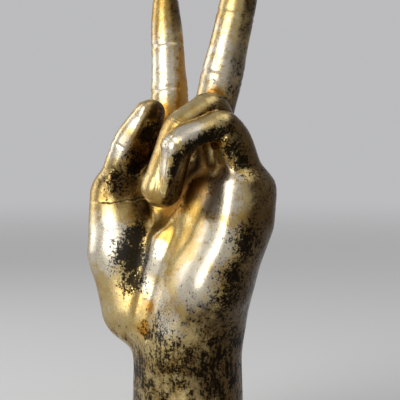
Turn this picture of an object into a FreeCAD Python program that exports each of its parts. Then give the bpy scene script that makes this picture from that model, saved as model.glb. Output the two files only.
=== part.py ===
import FreeCAD, Part
import math
import os

import Sketcher
from FreeCAD import Vector

# Life-size ceramic ornament of a left hand that stands on its wrist and gives
# the V sign: index and middle finger up, ring and little finger folded into the
# palm, thumb drawn in beside them.
#
# Frame: millimetres and degrees. +Z is up, the palm looks along -Y, the thumb
# is on the -X side. The origin lies under the wrist, on the table.
#
# The palm and wrist are one hollow casting. The five fingers are cast apart and
# set on its knuckles, each seat cut to the palm's own surface. A clay floor
# closes the mouth of the wrist and a felt pad is stuck below. Palm and fingers
# are hand-cut forms, so their skins are made of many small flat facets.

SIZES = {
    # foot of the wrist
    "felt_thickness": 2.0,
    "felt_inset": 1.5,
    "floor_thickness": 5.0,
    "floor_gap": 0.2,
    "vent_diameter": 9.0,
    "rim_wall": 3.6,
    "cast_wall": 5.2,
    # wrist and palm
    "wrist_width": 71.0,
    "wrist_depth": 53.0,
    "knuckle_spread": 60.0,
    "knuckle_height": 150.0,
    "palm_depth": 24.0,
    # how the fingers are set and folded
    "root_sink": 7.0,
    "fold_gap": 1.0,
    "nail_thickness": 0.8,
    # index finger
    "index_width": 21.0,
    "index_near_bone": 46.0,
    "index_mid_bone": 26.0,
    "index_tip_bone": 24.0,
    "index_mid_bend_angle": 1.0,
    "index_tip_bend_angle": 0.5,
    "index_sway_angle": 0.0,
    "index_tilt_angle": -7.0,
    "index_fan_angle": -12.0,
    # middle finger
    "middle_width": 22.6,
    "middle_near_bone": 51.0,
    "middle_mid_bone": 32.0,
    "middle_tip_bone": 21.0,
    "middle_mid_bend_angle": 1.0,
    "middle_tip_bend_angle": 0.5,
    "middle_sway_angle": 0.0,
    "middle_tilt_angle": -7.5,
    "middle_fan_angle": 12.0,
    # ring finger
    "ring_width": 20.0,
    "ring_near_bone": 30.5,
    "ring_mid_bone": 10.0,
    "ring_tip_bone": 25.0,
    "ring_mid_bend_angle": 146.0,
    "ring_tip_bend_angle": 16.0,
    "ring_sway_angle": -12.0,
    "ring_tilt_angle": 6.0,
    "ring_fan_angle": 8.0,
    # little finger
    "little_width": 19.5,
    "little_near_bone": 33.5,
    "little_mid_bone": 13.0,
    "little_tip_bone": 18.0,
    "little_mid_bend_angle": 91.0,
    "little_tip_bend_angle": 64.0,
    "little_sway_angle": -22.0,
    "little_tilt_angle": 21.0,
    "little_fan_angle": 6.0,
    # thumb
    "thumb_width": 25.0,
    "thumb_near_bone": 18.0,
    "thumb_mid_bone": 11.0,
    "thumb_tip_bone": 18.0,
    "thumb_mid_bend_angle": 16.0,
    "thumb_tip_bend_angle": 12.0,
    "thumb_sway_angle": 100.0,
    "thumb_tilt_angle": 8.0,
    "thumb_fan_angle": 2.0,
}

# Places in the palm: shares of knuckle_spread across, palm_depth back and
# knuckle_height up. The fingers grow from the same knuckles.
KNUCKLE_SHARES = {
    "index": (-0.40, 0.33, 0.98),
    "middle": (-0.03, 0.46, 1.00),
    "ring": (0.29, 0.46, 0.955),
    "little": (0.605, 0.50, 0.90),
    "thumb": (-0.65, -0.69, 0.875),
}

# Fleshy columns under the skin: place and radius of each end, the radius as a
# share of palm_depth. A name in place of three shares is that finger's knuckle.
COLUMN_SHARES = {
    "metacarpals": [
        (((-0.15, 0.08, 0.49), 0.71), ("index", 0.56)),
        (((-0.03, 0.12, 0.49), 0.79), ("middle", 0.58)),
        (((0.10, 0.12, 0.49), 0.75), ("ring", 0.56)),
        (((0.26, 0.16, 0.51), 0.71), ("little", 0.54)),
    ],
    "thumb_ball": [
        (((-0.40, -0.65, 0.507), 0.79), ((-0.52, -0.75, 0.71), 0.79)),
        (((-0.52, -0.75, 0.71), 0.79), ("thumb", 0.56)),
    ],
    "heel": [
        (((0.15, -0.33, 0.427), 0.67), ((0.48, -0.21, 0.627), 0.71)),
        (((0.48, -0.21, 0.627), 0.71), ((0.59, 0.10, 0.787), 0.63)),
    ],
    "mid_palm": [
        (((0.03, -0.17, 0.40), 0.75), ((0.07, -0.25, 0.69), 0.54)),
        (((0.07, -0.25, 0.69), 0.54), ((0.28, 0.0, 0.92), 0.46)),
    ],
    "thumb_web": [
        (((-0.50, -0.33, 0.92), 0.37), ((-0.23, 0.17, 0.97), 0.42)),
    ],
}

# Width of the soft join inside each group and of the group with the rest, as
# shares of palm_depth.
JOIN_SHARES = {
    "metacarpals": (0.50, 0.67),
    "thumb_ball": (0.42, 0.67),
    "heel": (0.42, 0.67),
    "mid_palm": (0.50, 0.75),
    "thumb_web": (0.50, 0.50),
}

# Wrist column: height share of knuckle_height, then shares of wrist_width and
# wrist_depth. It narrows to nothing inside the palm.
WRIST_SHARES = [
    (0.0, 1.0, 1.0),
    (0.20, 0.97, 0.96),
    (0.41, 0.944, 0.925),
    (0.56, 0.87, 0.83),
    (0.69, 0.62, 0.57),
    (0.79, 0.17, 0.15),
]

# Sections of the palm: level ones at shares of knuckle_height up to its heart,
# then ones that fan out from the heart, at shares of a right angle, to the crown
# between the knuckles.
HEART_SHARES = (-0.10, 0.04, 0.787)
LEVEL_SHARES = (0.10, 0.21, 0.31, 0.40, 0.48, 0.55, 0.61, 0.67, 0.73)
FAN_SHARES = (0.15, 0.29, 0.43, 0.57, 0.70, 0.84)

# Counts of corners round each section, of halvings in the search for the skin,
# and how far, as a share, four corners may leave a plane and still count as flat.
SKIN_SIDES = 44
HOLLOW_SIDES = 24
FINGER_SIDES = 18
SEARCH_HALVINGS = 16
FLATNESS_SHARE = 1e-6

# Sections of a finger: run along the finger, share of that run, then shares of
# the finger's width: across, from back to front, and how far the knuckle
# stands out at the back. The sunk root is ROOT_SHARE of the first section, and
# the rounded tip reaches CAP_SHARE of the width past the last.
STRAIGHT_SHARES = [
    ("near", 0.0, 1.12, 1.06, 0.0),
    ("near", 0.30, 1.05, 1.00, 0.0),
    ("near", 0.65, 0.98, 0.94, 0.0),
    ("mid_fold", 0.5, 0.99, 0.95, 0.01),
    ("mid", 0.5, 0.92, 0.88, 0.0),
    ("tip_fold", 0.5, 0.89, 0.83, 0.01),
    ("tip", 0.5, 0.85, 0.80, 0.0),
    ("tip", 1.0, 0.74, 0.66, 0.0),
]
FOLDED_SHARES = [
    ("near", 0.0, 1.10, 1.06, 0.0),
    ("near", 0.5, 1.04, 1.02, 0.0),
    ("near", 1.0, 1.03, 0.97, 0.0),
    ("mid_fold", 0.25, 1.05, 0.93, 0.07),
    ("mid_fold", 0.5, 1.07, 0.91, 0.12),
    ("mid_fold", 0.75, 1.03, 0.88, 0.06),
    ("mid", 0.0, 0.98, 0.85, 0.0),
    ("mid", 1.0, 0.95, 0.81, 0.0),
    ("tip_fold", 0.5, 0.95, 0.79, 0.01),
    ("tip", 0.0, 0.95, 0.80, 0.0),
    ("tip", 0.5, 0.92, 0.80, 0.0),
    ("tip", 1.0, 0.80, 0.70, 0.0),
]
SLENDER_SHARES = [
    ("near", 0.0, 1.12, 1.08, 0.0),
    ("near", 0.5, 1.06, 1.04, 0.0),
    ("near", 1.0, 1.03, 0.97, 0.0),
    ("mid_fold", 0.25, 1.05, 0.93, 0.06),
    ("mid_fold", 0.5, 1.06, 0.92, 0.13),
    ("mid_fold", 0.75, 1.02, 0.88, 0.06),
    ("mid", 0.0, 0.96, 0.86, 0.0),
    ("mid", 1.0, 0.90, 0.77, 0.0),
    ("tip_fold", 0.5, 0.88, 0.71, 0.03),
    ("tip", 0.0, 0.82, 0.62, 0.0),
    ("tip", 0.5, 0.68, 0.44, 0.0),
    ("tip", 1.0, 0.46, 0.28, 0.0),
]
THUMB_SHARES = [
    ("near", 0.0, 0.98, 0.90, 0.0),
    ("near", 0.5, 1.00, 0.86, 0.0),
    ("mid_fold", 0.5, 1.00, 0.80, 0.0),
    ("mid", 0.5, 1.03, 0.79, 0.0),
    ("tip_fold", 0.5, 1.03, 0.76, 0.0),
    ("tip", 0.5, 0.93, 0.70, 0.0),
    ("tip", 1.0, 0.76, 0.56, 0.0),
]
FINGER_SHARES = {
    "index": STRAIGHT_SHARES,
    "middle": STRAIGHT_SHARES,
    "ring": FOLDED_SHARES,
    "little": SLENDER_SHARES,
    "thumb": THUMB_SHARES,
}
ROOT_SHARE = 0.7
CAP_SHARE = 0.5
CAP_STEP_SHARES = (0.35, 0.62, 0.82, 0.95)

# Nails: length as a share of the finger's width, how far the free edge stands
# past the last bone as a share of the rounded tip, and half the arc that the
# nail covers as a share of a right angle. The tables hold rows along the nail
# and corners across it, each with its rise above the flesh as a share of the
# thickness: the root and the sides dip just under the skin, and the last two
# corners lie deep in the flesh.
NAIL_SHARE = 0.56
NAIL_EDGE_SHARE = 0.45
NAIL_ARC_SHARE = 0.62
NAIL_ROW_SHARES = [(0.0, -0.3), (0.18, 0.75), (0.6, 1.0), (1.0, 1.0)]
NAIL_CORNER_SHARES = [
    (-1.0, -0.3),
    (-0.82, 0.75),
    (-0.4, 1.0),
    (0.0, 1.0),
    (0.4, 1.0),
    (0.82, 0.75),
    (1.0, -0.3),
    (1.0, -2.5),
    (-1.0, -2.5),
]

doc = FreeCAD.newDocument("HandOrnament")


def make_sheet():
    """Write the driving sizes into the sheet as plain numbers with aliases."""
    cells = doc.addObject("Spreadsheet::Sheet", "Sizes")
    for row, (alias, value) in enumerate(SIZES.items(), start=1):
        cells.set(f"A{row}", alias)
        cells.set(f"B{row}", str(value))
        cells.setAlias(f"B{row}", alias)
    doc.recompute()
    return cells


sheet = make_sheet()


def size(alias):
    """Read one driving size from the sheet."""
    return float(sheet.get(alias))


def palm_place(shares):
    """Turn a place in the palm, or a finger's name, into a point."""
    across, back, up = KNUCKLE_SHARES.get(shares, shares)
    return Vector(
        across * size("knuckle_spread"),
        back * size("palm_depth"),
        up * size("knuckle_height"),
    )


# The skin of the palm


def soft_union(first, second, width):
    """Join two distances with a soft valley of the given width."""
    overlap = max(width - abs(first - second), 0.0) / width
    return min(first, second) - overlap ** 3 * width / 6.0


def column_distance(point, start, end, start_radius, end_radius):
    """Distance from a point to a round column that tapers between two balls."""
    axis = end - start
    length = axis.dot(axis)
    taper = start_radius - end_radius
    rest = length - taper * taper
    offset = point - start
    along = offset.dot(axis)
    beyond = along - length
    aside = offset * length - axis * along
    square = aside.dot(aside)
    ahead = along * along * length
    past = beyond * beyond * length
    slope = math.copysign(taper * taper * square, taper) if taper else 0.0
    if math.copysign(past, beyond) * rest > slope:
        return math.sqrt(square + past) / length - end_radius
    if math.copysign(ahead, along) * rest < slope:
        return math.sqrt(square + ahead) / length - start_radius
    return (math.sqrt(square * rest / length) + along * taper) / length - start_radius


def wrist_half_sizes(height):
    """Half width and half depth of the wrist column at a height."""
    share = height / size("knuckle_height")
    across, deep = WRIST_SHARES[-1][1:]
    for low, high in zip(WRIST_SHARES, WRIST_SHARES[1:]):
        if share <= high[0]:
            part = max(share - low[0], 0.0) / (high[0] - low[0])
            across = low[1] + part * (high[1] - low[1])
            deep = low[2] + part * (high[2] - low[2])
            break
    return across * size("wrist_width") / 2, deep * size("wrist_depth") / 2


def wrist_distance(point):
    """Distance from a point to the oval wrist column."""
    across, deep = wrist_half_sizes(point.z)
    ratio = math.hypot(point.x / across, point.y / deep)
    slope = math.hypot(point.x / across ** 2, point.y / deep ** 2)
    column = ratio * (ratio - 1.0) / slope if slope else -min(across, deep)
    top = WRIST_SHARES[-1][0] * size("knuckle_height")
    return max(column, point.z - top)


def make_columns():
    """Work out the ends, radii and joins of every fleshy column."""
    groups = []
    depth = size("palm_depth")
    for name, columns in COLUMN_SHARES.items():
        solid = [
            (palm_place(low), palm_place(high), low_radius * depth, high_radius * depth)
            for (low, low_radius), (high, high_radius) in columns
        ]
        inside, outside = JOIN_SHARES[name]
        groups.append((solid, inside * depth, outside * depth))
    return groups


PALM_COLUMNS = make_columns()


def palm_distance(point):
    """Distance from a point to the skin of wrist and palm, negative inside."""
    distance = wrist_distance(point)
    for columns, inside, outside in PALM_COLUMNS:
        group = None
        for column in columns:
            one = column_distance(point, *column)
            group = one if group is None else soft_union(group, one, inside)
        distance = soft_union(distance, group, outside)
    return distance


def reach(origin, direction, depth):
    """Walk in along a ray to where the skin, or a wall's depth below it, lies."""
    near = 0.0
    far = size("knuckle_spread") * 2
    step = size("palm_depth") / 8
    while far - step > near and palm_distance(origin + direction * (far - step)) > -depth:
        far -= step
    near = max(far - step, 0.0)
    for _ in range(SEARCH_HALVINGS):
        middle = (near + far) / 2
        if palm_distance(origin + direction * middle) > -depth:
            far = middle
        else:
            near = middle
    return origin + direction * near


def flat_face(corners):
    """A flat face through its corners."""
    return Part.Face(Part.makePolygon(corners + corners[:1]))


def quad_faces(low_left, low_right, high_right, high_left):
    """One face where four corners lie in a plane, else two along the short diagonal."""
    lean = (low_right - low_left).cross(high_left - low_left)
    if abs(lean.dot(high_right - low_left)) < FLATNESS_SHARE * lean.Length:
        return [flat_face([low_left, low_right, high_right, high_left])]
    if (high_right - low_left).Length < (high_left - low_right).Length:
        return [flat_face([low_left, low_right, high_right]), flat_face([low_left, high_right, high_left])]
    return [flat_face([low_left, low_right, high_left]), flat_face([low_right, high_right, high_left])]


def faceted_solid(name, rings, tip):
    """Closed solid of flat facets: a flat foot, rings of corners, a pointed end."""
    faces = [flat_face(rings[0])]
    sides = len(rings[0])
    for low, high in zip(rings, rings[1:]):
        for index in range(sides):
            after = (index + 1) % sides
            faces += quad_faces(low[index], low[after], high[after], high[index])
    last = rings[-1]
    for index in range(sides):
        faces.append(flat_face([last[index], last[(index + 1) % sides], tip]))
    shell = Part.makeShell(faces)
    shell.sewShape()
    solid = Part.makeSolid(shell)
    if solid.Volume < 0:
        solid.reverse()
    piece = doc.addObject("Part::Feature", name)
    piece.Shape = solid
    return piece


def palm_ring(origin, lift, depth, sides):
    """Where rays all round the origin, raised by an angle, meet the skin."""
    points = []
    for index in range(sides):
        turn = 2 * math.pi * index / sides
        flat = Vector(-math.sin(turn), math.cos(turn), 0)
        points.append(reach(origin, flat * math.cos(lift) + Vector(0, 0, math.sin(lift)), depth))
    return points


def palm_skin(name, foot, depth, sides):
    """The skin, or the hollow a wall's depth below it, from foot to crown."""
    heart = palm_place(HEART_SHARES)
    heights = [foot, *(share * size("knuckle_height") for share in LEVEL_SHARES), heart.z]
    rings = [palm_ring(Vector(heart.x, heart.y, height), 0.0, depth, sides) for height in heights]
    rings += [palm_ring(heart, share * math.pi / 2, depth, sides) for share in FAN_SHARES]
    return faceted_solid(name, rings, reach(heart, Vector(0, 0, 1), depth))


# The fingers


def flexed(ahead, palmward, angle):
    """Turn a finger's direction towards the palm by an angle in degrees."""
    turn = math.radians(angle)
    new_ahead = ahead * math.cos(turn) + palmward * math.sin(turn)
    new_palmward = palmward * math.cos(turn) - ahead * math.sin(turn)
    return new_ahead, new_palmward


def finger_start(finger):
    """Point, direction, palm side and cross direction at a finger's knuckle."""
    sway = math.radians(size(f"{finger}_sway_angle"))
    fan = math.radians(size(f"{finger}_fan_angle"))
    palmward = Vector(math.sin(sway), -math.cos(sway), 0)
    across = Vector(math.cos(sway), math.sin(sway), 0)
    ahead, palmward = flexed(Vector(0, 0, 1), palmward, size(f"{finger}_tilt_angle"))
    leaning = ahead * math.cos(fan) + across * math.sin(fan)
    across = across * math.cos(fan) - ahead * math.sin(fan)
    return palm_place(finger), leaning, palmward, across


def finger_path(finger):
    """Follow the bones and folds of a finger.

    Gives a function from (run, share) to point, direction and palm side, the
    cross direction, and the same three at the end of the last bone. A fold
    turns about a pivot just under the skin of the palm side.
    """
    point, ahead, palmward, across = finger_start(finger)
    width = size(f"{finger}_width")
    fold_depth = {run: deep * width for run, share, wide, deep, knuckle in FINGER_SHARES[finger]}
    stretches = {}
    for run in ("near", "mid_fold", "mid", "tip_fold", "tip"):
        if run.endswith("_fold"):
            angle = size(f"{finger}_{run.replace('fold', 'bend')}_angle")
            radius = fold_depth[run] / 2 + size("fold_gap")
            stretches[run] = (point, ahead, palmward, angle, radius)
            pivot = point + palmward * radius
            ahead, palmward = flexed(ahead, palmward, angle)
            point = pivot - palmward * radius
        else:
            length = size(f"{finger}_{run}_bone")
            stretches[run] = (point, ahead, palmward, length, None)
            point = point + ahead * length

    def place(run, share):
        start, forward, inward, amount, radius = stretches[run]
        if radius is None:
            return start + forward * (share * amount), forward, inward
        turned, turned_in = flexed(forward, inward, share * amount)
        return start + inward * radius - turned_in * radius, turned, turned_in

    return place, across, (point, ahead, palmward)


def finger_ring(finger, shares, place, across):
    """Corners of one section: half an oval towards the palm, half at the back."""
    wide, deep, knuckle = shares
    point, ahead, palmward = place
    width = size(f"{finger}_width")
    points = []
    for index in range(FINGER_SIDES):
        turn = 2 * math.pi * (index + 0.5) / FINGER_SIDES
        side = math.cos(turn) * wide * width / 2
        back = math.sin(turn) * deep * width / 2
        if back > 0:
            back += math.sin(turn) * knuckle * width
        points.append(point + across * side - palmward * back)
    return points


def nail_plate(finger, end, across):
    """The nail on the back of a finger's tip, its rim and underside in the flesh."""
    point, ahead, palmward = end
    before, last = FINGER_SHARES[finger][-2:]
    width = size(f"{finger}_width")
    cap = CAP_SHARE * width
    thickness = size("nail_thickness")
    rings = []
    for along, row_rise in NAIL_ROW_SHARES:
        past = NAIL_EDGE_SHARE * cap - (1 - along) * NAIL_SHARE * width
        share = min(1 + past / size(f"{finger}_tip_bone"), 1)
        part = (share - before[1]) / (last[1] - before[1])
        left = math.sqrt(1 - max(past / cap, 0) ** 2) * width / 2
        wide = left * (before[2] + part * (last[2] - before[2]))
        deep = left * (before[3] + part * (last[3] - before[3]))
        ring = []
        for corner, corner_rise in NAIL_CORNER_SHARES:
            turn = math.pi / 2 * (1 - corner * NAIL_ARC_SHARE)
            rise = thickness * min(row_rise, corner_rise)
            side = across * (math.cos(turn) * (wide + rise))
            ring.append(point + ahead * past + side - palmward * (math.sin(turn) * (deep + rise)))
        rings.append(ring)
    inner = point + ahead * (past + thickness) - palmward * (deep / 2)
    return faceted_solid(f"{finger}_nail", rings, inner)


def finger_skin(finger):
    """The whole finger: a root sunk below the knuckle, the bones, a rounded tip, a nail."""
    place, across, end = finger_path(finger)
    table = FINGER_SHARES[finger]
    start, ahead, palmward = place("near", 0.0)
    sunk = (start - ahead * size("root_sink"), ahead, palmward)
    root = [share * ROOT_SHARE for share in table[0][2:]]
    rings = [finger_ring(finger, root, sunk, across)]
    for run, share, *shares in table:
        rings.append(finger_ring(finger, shares, place(run, share), across))
    point, ahead, palmward = end
    cap = CAP_SHARE * size(f"{finger}_width")
    for share in CAP_STEP_SHARES:
        left = [part * math.sqrt(1 - share * share) for part in table[-1][2:]]
        rings.append(finger_ring(finger, left, (point + ahead * (share * cap), ahead, palmward), across))
    whole = doc.addObject("Part::Fuse", f"{finger}_whole")
    whole.Base = faceted_solid(f"{finger}_flesh", rings, point + ahead * cap)
    whole.Tool = nail_plate(finger, end, across)
    return whole


def cut_by(base, tools, label):
    """Cut a piece by each tool in turn and give the last result its name."""
    for tool in tools:
        cut = doc.addObject("Part::Cut", f"{base.Name}_less_{tool.Name}")
        cut.Base = base
        cut.Tool = tool
        base = cut
    base.Label = label
    return base


# The foot


def oval_body(label, clearance, height, thickness):
    """An oval plate under the wrist, as a padded sketch on the level plane."""
    body = doc.addObject("PartDesign::Body", f"{label}_body")
    body.Label = label
    level = [plane for plane in body.Origin.OriginFeatures if plane.Role == "XY_Plane"][0]
    sketch = body.newObject("Sketcher::SketchObject", f"{label}_outline")
    sketch.AttachmentSupport = (level, [""])
    sketch.MapMode = "FlatFace"
    half_width = size("wrist_width") / 2
    half_depth = size("wrist_depth") / 2
    outline = Part.Ellipse(Vector(half_width, 0, 0), Vector(0, half_depth, 0), Vector(0, 0, 0))
    sketch.addGeometry(outline, False)
    sketch.exposeInternalGeometry(0)
    sketch.addConstraint(Sketcher.Constraint("Coincident", 0, 3, -1, 1))
    sketch.addConstraint(Sketcher.Constraint("Horizontal", 1))
    wide = sketch.addConstraint(Sketcher.Constraint("Distance", 1, 2 * half_width))
    sketch.setExpression(f"Constraints[{wide}]", f"Sizes.wrist_width - 2 * {clearance}")
    deep = sketch.addConstraint(Sketcher.Constraint("Distance", 2, 2 * half_depth))
    sketch.setExpression(f"Constraints[{deep}]", f"Sizes.wrist_depth - 2 * {clearance}")
    pad = body.newObject("PartDesign::Pad", f"{label}_pad")
    pad.Profile = sketch
    pad.setExpression("Length", f"Sizes.{thickness}")
    body.setExpression("Placement.Base.z", height)
    doc.recompute()
    return body


def make_floor():
    """Clay floor that fits the mouth of the wrist, with the vent of the firing."""
    clearance = "(Sizes.rim_wall + Sizes.floor_gap)"
    body = oval_body("base_floor", clearance, "Sizes.felt_thickness", "floor_thickness")
    whole = body.Shape.Volume
    level = [plane for plane in body.Origin.OriginFeatures if plane.Role == "XY_Plane"][0]
    ring = body.newObject("Sketcher::SketchObject", "vent_outline")
    ring.AttachmentSupport = (level, [""])
    ring.MapMode = "FlatFace"
    ring.addGeometry(Part.Circle(Vector(0, 0, 0), Vector(0, 0, 1), size("vent_diameter") / 2), False)
    ring.addConstraint(Sketcher.Constraint("Coincident", 0, 3, -1, 1))
    across = ring.addConstraint(Sketcher.Constraint("Diameter", 0, size("vent_diameter")))
    ring.setExpression(f"Constraints[{across}]", "Sizes.vent_diameter")
    vent = body.newObject("PartDesign::Pocket", "vent")
    vent.Profile = ring
    vent.Type = "ThroughAll"
    vent.Midplane = True
    doc.recompute()
    if body.Shape.Volume >= whole:
        raise RuntimeError("the vent cuts nothing")
    return body


def make_mouth():
    """Oval cutter for the seat of the floor in the wrist."""
    outline = doc.addObject("Part::Ellipse", "mouth_outline")
    outline.setExpression("MajorRadius", "Sizes.wrist_width / 2 - Sizes.rim_wall")
    outline.setExpression("MinorRadius", "Sizes.wrist_depth / 2 - Sizes.rim_wall")
    mouth = doc.addObject("Part::Extrusion", "mouth")
    mouth.Base = outline
    mouth.DirMode = "Custom"
    mouth.Dir = Vector(0, 0, 1)
    mouth.setExpression("LengthFwd", "Sizes.felt_thickness + Sizes.floor_thickness")
    mouth.Solid = True
    return mouth


def build():
    """Make every piece and return them in the order of their files."""
    skin = palm_skin("palm_skin", size("felt_thickness"), 0.0, SKIN_SIDES)
    hollow_foot = size("felt_thickness") + size("floor_thickness") / 2
    hollow = palm_skin("palm_hollow", hollow_foot, size("cast_wall"), HOLLOW_SIDES)
    flesh = {finger: finger_skin(finger) for finger in FINGER_SHARES}
    pieces = [
        cut_by(skin, [hollow, make_mouth()], "hand_shell"),
        cut_by(flesh["thumb"], [skin], "thumb"),
        cut_by(flesh["index"], [skin], "index_finger"),
        cut_by(flesh["middle"], [skin, flesh["index"]], "middle_finger"),
        cut_by(flesh["ring"], [skin, flesh["middle"]], "ring_finger"),
        cut_by(flesh["little"], [skin, flesh["ring"]], "little_finger"),
        make_floor(),
        oval_body("felt_pad", "Sizes.felt_inset", "0 mm", "felt_thickness"),
    ]
    doc.recompute()
    return pieces


def check(pieces):
    """Stop at any failed object or any piece that is not one sound solid."""
    for thing in doc.Objects:
        if "Invalid" in thing.State or "Error" in thing.State:
            raise RuntimeError(f"{thing.Name} failed: {thing.State}")
    for piece in pieces:
        shape = piece.Shape
        if shape.isNull() or not shape.isValid():
            raise RuntimeError(f"{piece.Label} has no sound shape")
        if len(shape.Solids) != 1:
            raise RuntimeError(f"{piece.Label} has {len(shape.Solids)} solids")


def export(pieces):
    """Write each piece to its own file and print its size."""
    os.makedirs("parts", exist_ok=True)
    for piece in pieces:
        piece.Shape.exportStep(f"parts/{piece.Label}.step")
        box = piece.Shape.BoundBox
        volume = piece.Shape.Volume / 1000
        print(f"{piece.Label}: {box.XLength:.1f} x {box.YLength:.1f} x {box.ZLength:.1f} mm, {volume:.1f} ml")


made = build()
check(made)
export(made)
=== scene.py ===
import logging
import math
from dataclasses import dataclass, field
from enum import Enum
from typing import Callable, Mapping, Union

import bpy
import numpy as np
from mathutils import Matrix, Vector


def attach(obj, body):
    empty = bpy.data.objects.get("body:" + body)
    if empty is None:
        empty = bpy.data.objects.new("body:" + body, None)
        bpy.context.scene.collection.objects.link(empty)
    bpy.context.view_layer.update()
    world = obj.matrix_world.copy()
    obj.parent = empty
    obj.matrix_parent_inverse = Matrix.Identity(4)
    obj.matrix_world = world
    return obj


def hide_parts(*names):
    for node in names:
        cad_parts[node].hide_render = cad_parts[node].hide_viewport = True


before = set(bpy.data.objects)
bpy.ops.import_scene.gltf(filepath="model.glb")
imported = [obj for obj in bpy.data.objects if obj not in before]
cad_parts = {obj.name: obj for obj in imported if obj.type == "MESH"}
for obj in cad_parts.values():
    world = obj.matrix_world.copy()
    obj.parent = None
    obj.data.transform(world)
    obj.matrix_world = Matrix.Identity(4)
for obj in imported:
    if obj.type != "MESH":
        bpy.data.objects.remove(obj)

# A gilded ceramic left hand, life size, that stands on its wrist and gives the
# V sign. The form is worked out in millimetres and put down in metres: +Z is up,
# the palm looks along -Y and the thumb is on the -X side.

log = logging.getLogger("hand")
METRES_PER_MM = 0.001
Rows = np.ndarray
Point = tuple[float, float, float]


# Small maths on whole arrays


def unit(rows: Rows) -> Rows:
    """Give every row a length of one."""
    return rows / np.maximum(np.linalg.norm(rows, axis=-1, keepdims=True), 1e-12)


def smooth_min(first: Rows, second: Rows, width: Union[float, Rows]) -> Rows:
    """Join two distances with a soft valley.

    Formula: the lesser of the two, less a cube of how far they overlap within
    the width.

    Args:
        first: distances to one form.
        second: distances to the other.
        width: width of the valley, one value or one for each point.

    Returns:
        The joined distances.
    """
    overlap = np.maximum(width - np.abs(first - second), 0.0) / width
    return np.minimum(first, second) - overlap ** 3 * width / 6.0


def ramp(value: Rows, low: float, high: float) -> Rows:
    """Go from 0 at low to 1 at high in a straight line."""
    return np.clip((value - low) / (high - low), 0.0, 1.0)


def smooth_step(value: Rows, low: float, high: float) -> Rows:
    """Ease from 0 at low to 1 at high along 3t^2 - 2t^3."""
    t = ramp(value, low, high)
    return t * t * (3.0 - 2.0 * t)


def bell(value: Rows, width: float) -> Rows:
    """A bell curve of height one: e to the minus (value / width) squared."""
    return np.exp(-((value / width) ** 2))


def from_line(points: Rows, start: Point, end: Point) -> tuple[Rows, Rows]:
    """Where every point lies nearest to a straight line: share of the line, and offset from it."""
    axis = np.subtract(end, start)
    share = np.clip((points - start) @ axis / (axis @ axis), 0.0, 1.0)
    return share, points - start - share[:, None] * axis


def sum_at(index: Rows, values: Rows, count: int) -> Rows:
    """Sum those rows of values that share an index."""
    return np.stack([np.bincount(index, column, count) for column in values.T], 1)


# The form of the hand


@dataclass(frozen=True)
class Station:
    """One section of a finger, in shares of the finger's width.

    Attributes:
        run: stretch of the finger: near, mid_fold, mid, tip_fold or tip.
        share: how far along that stretch.
        wide: width across.
        deep: depth from back to palm side.
        knuckle: how far the knuckle stands out at the back.
    """

    run: str
    share: float
    wide: float
    deep: float
    knuckle: float = 0.0


def sections(**runs: tuple[tuple[float, ...], ...]) -> tuple[Station, ...]:
    """Stations from rows of share, wide, deep and knuckle for each stretch in turn."""
    return tuple(Station(run, *row) for run, rows in runs.items() for row in rows)


STRAIGHT = sections(
    near=((0.0, 1.12, 1.06), (0.30, 1.05, 1.00), (0.65, 0.98, 0.94)), mid_fold=((0.5, 1.00, 0.95, 0.01),),
    mid=((0.5, 0.92, 0.88),), tip_fold=((0.5, 0.90, 0.83, 0.01),), tip=((0.5, 0.86, 0.80), (1.0, 0.75, 0.66)),
)
FOLDED = sections(
    near=((0.0, 1.10, 1.06), (0.5, 1.04, 1.02), (1.0, 1.01, 1.00)),
    mid_fold=((0.25, 1.0, 0.97, 0.02), (0.5, 0.99, 0.94, 0.04), (0.75, 0.97, 0.90, 0.02)),
    mid=((0.0, 0.96, 0.86), (1.0, 0.94, 0.82)), tip_fold=((0.5, 0.95, 0.81, 0.01),),
    tip=((0.0, 0.97, 0.82), (0.5, 1.02, 0.90), (1.0, 1.00, 0.98)),
)
SLENDER = sections(
    near=((0.0, 1.12, 0.52, 0.36), (0.5, 1.06, 0.74, 0.22), (1.0, 1.01, 0.90, 0.09)),
    mid_fold=((0.25, 1.0, 0.88, 0.08), (0.5, 0.99, 0.84, 0.10), (0.75, 0.97, 0.74, 0.11)),
    mid=((0.0, 0.95, 0.64, 0.12), (1.0, 0.90, 0.60, 0.09)), tip_fold=((0.5, 0.86, 0.62, 0.06),),
    tip=((0.0, 0.78, 0.56, 0.01), (0.5, 0.58, 0.36), (1.0, 0.34, 0.18)),
)
BROAD = sections(
    near=((0.0, 1.16, 1.06), (0.5, 1.10, 0.96)), mid_fold=((0.5, 1.03, 0.84),), mid=((0.5, 1.03, 0.79),),
    tip_fold=((0.5, 1.03, 0.76),), tip=((0.5, 0.93, 0.70), (1.0, 0.76, 0.56)),
)


@dataclass(frozen=True)
class Crease:
    """A fold line or wrinkle that runs across a finger.

    Attributes:
        run: stretch of the finger it lies on.
        share: how far along that stretch.
        depth: millimetres below the skin, or above it where negative.
        width: half width of the line.
        bow: how far its ends bow towards the tip.
        palm_side: on the palm side, otherwise on the back.
    """

    run: str
    share: float
    depth: float
    width: float
    bow: float = 0.0
    palm_side: bool = True


@dataclass(frozen=True)
class NailPlan:
    """Shape of a nail, in millimetres.

    Attributes:
        length: from root to free edge.
        wide: its share of the finger's width.
        back: how far its free edge lies back from the fingertip.
        lift: height of its middle over the skin.
        sunk: how far its rim lies under the skin.
        slope: rise of the free edge, and fall of the root.
        under: depth of its lower side in the flesh.
        narrow: shares by which its ends draw in, and by which the free edge does so less.
        arch: the same for how its sides fall short of its ends.
    """

    length: float = 13.0
    wide: float = 0.76
    back: float = 0.8
    lift: float = 0.75
    sunk: float = 0.15
    slope: float = 0.25
    under: float = 1.4
    narrow: tuple[float, float] = (0.26, 0.14)
    arch: tuple[float, float] = (0.30, 0.12)


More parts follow.
